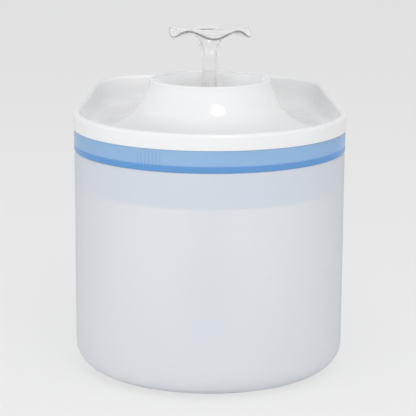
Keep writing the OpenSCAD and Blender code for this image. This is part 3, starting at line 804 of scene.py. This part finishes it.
# ---- drinking tray: one skin from the rim over the pan, the pedestal and the dish, and back below ----


def spline(points, steps):
    """Smooth curve through points, which keeps its ends."""
    pts = [points[0]] + list(points) + [points[-1]]
    out = []
    for k in range(1, len(pts) - 2):
        p0, p1, p2, p3 = (Vector(p) for p in pts[k - 1 : k + 3])
        linear = p2 - p0
        square = 2 * p0 - 5 * p1 + 4 * p2 - p3
        cube = 3 * p1 - p0 - 3 * p2 + p3
        for i in range(steps):
            s = i / steps
            out.append(tuple(0.5 * (2 * p1 + linear * s + square * s * s + cube * s**3)))
    return out + [tuple(points[-1])]


def flank_points():
    """Flank of the pedestal from its crest to its foot, as pairs of radius and height."""
    out, up = FOOT_R - CREST_R, CREST_Z - PAN_Z
    return [(CREST_R + s * out, PAN_Z + h * up) for s, h in FLANK]


def dish_points():
    """Bottom of the dish from the spout's seat to its edge, as pairs of radius and height."""
    shares = [i / DISH_STEPS for i in range(DISH_STEPS + 1)]
    out, up = DISH_R - SEAT_R, DISH_DEPTH - CREST_ROUND
    return [(SEAT_R + out * s, DISH_Z + up * s**3) for s in shares]


def skirt_rings():
    """From under the pan down inside the skirt, up its outside and out to the rim's edge."""
    inner_t = TRAY_SKIRT_T + TRAY_WALL
    edge_z = BAND_TOP + TRAY_EDGE_R
    section = [(inner_t, PAN_Z - TRAY_WALL), (inner_t, TRAY_SKIRT_FOOT)]
    section += [(TRAY_SKIRT_T, TRAY_SKIRT_FOOT), (TRAY_SKIRT_T, BAND_TOP)]
    section += bend(TRAY_EDGE_R - RIM_OVERHANG, edge_z, TRAY_EDGE_R, 270, 180, LIP_STEPS)
    return [ring(t, z) for t, z in section]


def rim_rings():
    """Up the rim, over its roll and down the slope to the pan."""
    roll_r = RIM_W / 2
    roll_z = BAND_TOP + RIM_FRONT_H - roll_r
    inner_t = RIM_W - RIM_OVERHANG
    shares = [i / RIM_SIDE_STEPS for i in range(1, RIM_SIDE_STEPS)]
    rings = [ring(-RIM_OVERHANG, BAND_TOP + (roll_z - BAND_TOP) * s, s) for s in shares]
    roll = bend(roll_r - RIM_OVERHANG, roll_z, roll_r, 180, 0, ROLL_STEPS)
    rings += [ring(t, z, 1) for t, z in roll]
    slope = [(inner_t + t * MM, PAN_Z + z * MM, share) for t, z, share in PAN_SLOPE]
    slope = [(inner_t, roll_z, 1)] + slope + [(PAN_T, PAN_Z, 0)]
    return rings + [ring(t, z, share) for t, z, share in spline(slope, SLOPE_STEPS)[1:]]


def pedestal_rings():
    """Up the flank, over the rounded crest and down the dish."""
    crest = bend(CREST_R - CREST_ROUND, CREST_Z - CREST_ROUND, CREST_ROUND, 0, 180, CREST_STEPS)
    section = spline(flank_points(), FLANK_STEPS)[::-1] + crest + dish_points()[-2::-1]
    return [circle_ring(r, z) for r, z in section]


def socket_rings():
    """Through the spout's seat and the riser's socket, and up the outside of the socket."""
    foot_z, seat_z = tray_lo.z, spout_lo.z
    ledge_z = seat_z - SOCKET_LEDGE
    bore_r = RISER_R + SOCKET_GAP
    section = [(SEAT_R, seat_z), (TUBE_BORE_R, seat_z), (TUBE_BORE_R, ledge_z), (bore_r, ledge_z)]
    section += [(bore_r, foot_z), (SOCKET_R, foot_z), (SOCKET_R, DISH_Z - TRAY_WALL)]
    return [circle_ring(r, z) for r, z in section]


def underside_rings():
    """Under the dish, down inside the flank and out under the pan."""
    dish = [(r, z) for r, z in dish_points() if r > DISH_UNDER_FROM]
    section = [(r - DISH_DRAW_IN * r / DISH_R, z - TRAY_WALL) for r, z in dish]
    section += [(r - TRAY_WALL, z - FLANK_DROP * TRAY_WALL) for r, z in flank_points()[:-1]]
    return [circle_ring(r, z) for r, z in section + [(FOOT_R, PAN_Z - TRAY_WALL)]]


def make_tray():
    rings = skirt_rings() + rim_rings() + pedestal_rings() + socket_rings() + underside_rings()
    obj = loft("white_tray", rings, closed=True)
    under_z = PAN_Z - TRAY_WALL - CUT
    slot_y = band_hi.y - OVERFLOW_FROM_BACK
    row = slot_points(OVERFLOW_W, OVERFLOW_D, OVERFLOW_SLOTS, OVERFLOW_SLOT_W, slot_y)
    slots = [prism("slot", points, under_z, PAN_Z + CUT) for points in row]
    weep = prism("weep", disc(WEEP_R, *WEEP_AT, WEEP_STEPS), under_z, PAN_Z + WEEP_CUT)
    combine(obj, slots + [weep])
    place(obj, "drinking_tray", SMOOTH_TRAY)


# ---- spout ----

SPOUT_ANGLES = [2 * math.pi * i / SPOUT_STEPS for i in range(SPOUT_STEPS)]


def wave(r, a):
    """Middle of the wavy disc; its waves and its dip to the back grow from nothing at the trumpet."""
    grow = max(0.0, (r - NECK_R) / (PETAL_R - NECK_R)) ** PETAL_GROWTH
    petals = PETAL_WAVE * math.cos(PETALS * (a + PETAL_TURN))
    return PETAL_Z + grow * (petals - PETAL_DIP / 2 * math.sin(a))


def flare(r0, height):
    """Quarter ellipse that opens from radius r0 into the disc."""
    z0 = PETAL_Z - PETAL_T / 2 - NECK_H
    angles = [math.pi / 2 * i / FLARE_STEPS for i in range(FLARE_STEPS + 1)]
    return [(r0 + (NECK_R - r0) * (1 - math.cos(a)), z0 + height * math.sin(a)) for a in angles]


def level_ring(r, z):
    """A level circle of the spout."""
    return [(r * math.cos(a), AXIS_Y + r * math.sin(a), z) for a in SPOUT_ANGLES]


def petal_ring(r, up):
    """A circle of the disc that follows its waves, so far above their middle."""
    return [(r * math.cos(a), AXIS_Y + r * math.sin(a), wave(r, a) + up) for a in SPOUT_ANGLES]


def petal_rings():
    """Out under the disc, round its edge and back over it."""
    half = PETAL_T / 2
    width = PETAL_R - half - NECK_R
    radii = [NECK_R + width * i / PETAL_STEPS for i in range(1, PETAL_STEPS + 1)]
    edge = bend(PETAL_R - half, 0, half, -90, 90, PETAL_EDGE_STEPS)[1:-1]
    section = [(r, -half) for r in radii] + edge + [(r, half) for r in reversed(radii)]
    return [petal_ring(r, up) for r, up in section]


def make_spout():
    groove_r = TUBE_R - SEAL_DEPTH
    foot_z = spout_lo.z
    seal_z = foot_z + SEAL_UP
    seal_top = seal_z + SEAL_H
    tube = [(TUBE_R, foot_z), (TUBE_R, seal_z), (groove_r, seal_z), (groove_r, seal_top)]
    outside = tube + [(TUBE_R, seal_top)] + flare(TUBE_R, NECK_H)
    bore = flare(TUBE_BORE_R, NECK_H + PETAL_T)[::-1] + [(TUBE_BORE_R, foot_z)]
    rings = [level_ring(r, z) for r, z in outside]
    rings += petal_rings()
    rings += [level_ring(r, z) for r, z in bore]
    place(loft("petal_spout", rings, closed=True), "spout", SMOOTH_SPOUT)


# ---- everything else keeps its CAD shape, welded, with its edges broken ----

# Width of each part's broken edges, in millimetres
BEVELS = {
    "pump_housing": 0.5, "pump_back_cap": 0.5, "pump_cover": 0.4, "volute_cover": 0.25,
    "filter_frame": 0.4, "filter_grille": 0.3, "foot_pads": 0.3, "lead_grommet": 0.3,
    "impeller": 0.2, "rotor_magnet": 0.4, "rotor_shaft": 0.2, "shaft_bushes": 0.2,
    "stator_core": 0.15, "stator_coil": 0.6, "suction_cups": 0.2, "riser_tube": 0.3,
    "inlet_sponge": 0.8, "flow_dial": 0.3, "filter_carbon": 0.3, "filter_cotton": 0.5,
    "riser_seal": 0.2, "spout_seal": 0.3,
}


BEVEL_SEGMENTS = 3
BEVEL_FROM = math.radians(40)
WELD = 0.002 * MM


def make_small_parts():
    for node, width in BEVELS.items():
        obj = link(node + "_piece", frame["nodes"][node].data.copy())
        tidy(obj.data, weld=WELD)
        mod = obj.modifiers.new("edges", "BEVEL")
        mod.width = width * MM
        mod.segments = BEVEL_SEGMENTS
        mod.limit_method = "ANGLE"
        mod.angle_limit = BEVEL_FROM
        mod.use_clamp_overlap = True
        apply_modifiers(obj)
        place(obj, node)


# ---- studio ----

MIDDLE = Vector((0, 0, 0.12))
WORLD_COLOUR = (0.97, 0.98, 1.0)
WORLD_LIGHT = 0.40
WORLD_SEEN = 0.85
PAPER = (0.87, 0.87, 0.87)
PAPER_SHARE = 0.75
FLOOR_REACH = 12.0


def seen_rays(nodes, links, low, high):
    """Low for the rays that light things, high for those that show them to the camera."""
    path = nodes.new("ShaderNodeLightPath")
    seen = path.outputs["Is Camera Ray"]
    for other in ("Is Glossy Ray", "Is Transmission Ray"):
        either = nodes.new("ShaderNodeMath")
        either.operation = "MAXIMUM"
        links.new(seen, either.inputs[0])
        links.new(path.outputs[other], either.inputs[1])
        seen = either.outputs["Value"]
    level = nodes.new("ShaderNodeMapRange")
    level.inputs["To Min"].default_value = low
    level.inputs["To Max"].default_value = high
    links.new(seen, level.inputs["Value"])
    return level.outputs["Result"]


def paper():
    """White paper that shows part of its own white, so that the shadows on it stay light."""
    mat = principled("paper", Base_Color=PAPER, Roughness=0.9, Specular_IOR_Level=0.2)
    nodes, links = mat.node_tree.nodes, mat.node_tree.links
    white = nodes.new("ShaderNodeEmission")
    white.inputs["Color"].default_value = (*PAPER, 1)
    mix = nodes.new("ShaderNodeMixShader")
    links.new(seen_rays(nodes, links, 0.0, PAPER_SHARE), mix.inputs["Fac"])
    links.new(nodes["Principled BSDF"].outputs["BSDF"], mix.inputs[1])
    links.new(white.outputs["Emission"], mix.inputs[2])
    links.new(mix.outputs["Shader"], nodes["Material Output"].inputs["Surface"])
    return mat


def make_studio():
    """One sheet of paper that reaches to the horizon on every side."""
    corners = [(FLOOR_REACH * x, FLOOR_REACH * y, 0) for x, y in ((-1, -1), (1, -1), (1, 1), (-1, 1))]
    mesh = bpy.data.meshes.new("floor")
    mesh.from_pydata(corners, [], [(0, 1, 2, 3)])
    mesh.materials.append(paper())
    link("floor", mesh)


def from_object(azimuth, elevation, distance):
    """A place seen from the middle of the object; azimuth 0 is the front, and it grows to the right."""
    az, el = math.radians(azimuth), math.radians(elevation)
    out = Vector((math.sin(az) * math.cos(el), -math.cos(az) * math.cos(el), math.sin(el)))
    return MIDDLE + out * distance


def area_light(name, at, size, power, colour=(1, 1, 1), shape="RECTANGLE", glossy=False):
    """A lamp at an azimuth, elevation and distance, aimed at the object and hidden from the camera."""
    data = bpy.data.lights.new(name, "AREA")
    data.shape = shape
    data.size, data.size_y = size
    data.energy = power
    data.color = colour
    obj = bpy.data.objects.new(name, data)
    bpy.context.scene.collection.objects.link(obj)
    obj.visible_camera = False
    obj.visible_glossy = glossy
    obj.location = from_object(*at)
    obj.rotation_mode = "QUATERNION"
    obj.rotation_quaternion = (MIDDLE - obj.location).to_track_quat("-Z", "Y")


def make_lights():
    """The key alone is seen in the gloss, as the one round highlight of the photograph."""
    area_light("key", at=(15, 47, 1.3), size=(0.42, 0.32), power=2.3, colour=(1.0, 0.99, 0.98),
               shape="ELLIPSE", glossy=True)
    area_light("right_fill", at=(65, 8, 1.5), size=(1.1, 0.5), power=4.4)
    area_light("left_fill", at=(-65, 8, 1.5), size=(1.1, 0.5), power=3.9)
    area_light("front", at=(-20, 6, 1.5), size=(1.4, 0.3), power=4.9)
    area_light("overhead", at=(0, 85, 1.5), size=(0.9, 0.9), power=6.4)


def make_world():
    """Soft light from all round, and the pale background that the camera sees."""
    world = bpy.data.worlds.new("studio")
    bpy.context.scene.world = world
    world.use_nodes = True
    nodes, links = world.node_tree.nodes, world.node_tree.links
    background = nodes["Background"]
    background.inputs["Color"].default_value = (*WORLD_COLOUR, 1)
    strength = seen_rays(nodes, links, WORLD_LIGHT, WORLD_SEEN)
    links.new(strength, background.inputs["Strength"])


def make_camera():
    """The photograph's camera: turned to the right, tipped down and rolled."""
    data = bpy.data.cameras.new("photo_camera")
    data.lens = CAMERA_LENS
    data.sensor_width = CAMERA_SENSOR
    data.sensor_fit = "HORIZONTAL"
    data.shift_x, data.shift_y = CAMERA_SHIFT
    data.clip_start, data.clip_end = CAMERA_CLIP
    camera = bpy.data.objects.new("photo_camera", data)
    bpy.context.scene.collection.objects.link(camera)
    yaw, pitch, roll = (math.radians(v) for v in (CAMERA_YAW, CAMERA_PITCH, CAMERA_ROLL))
    right = Vector((math.cos(yaw), -math.sin(yaw), 0))
    level = Vector((math.sin(yaw), math.cos(yaw), 0))
    ahead = level * math.cos(pitch) - Vector((0, 0, math.sin(pitch)))
    up = right.cross(ahead)
    rolled_right = right * math.cos(roll) + up * math.sin(roll)
    rolled_up = up * math.cos(roll) - right * math.sin(roll)
    axes = Matrix((rolled_right, rolled_up, -ahead)).transposed()
    camera.matrix_world = Matrix.Translation(CAMERA_AT) @ axes.to_4x4()
    bpy.context.scene.camera = camera


make_camera()
make_studio()
make_lights()
make_world()
make_tank()
make_basin()
make_tray()
make_spout()
make_small_parts()

bpy.context.scene.view_settings.view_transform = "Standard"

bpy.context.view_layer.update()
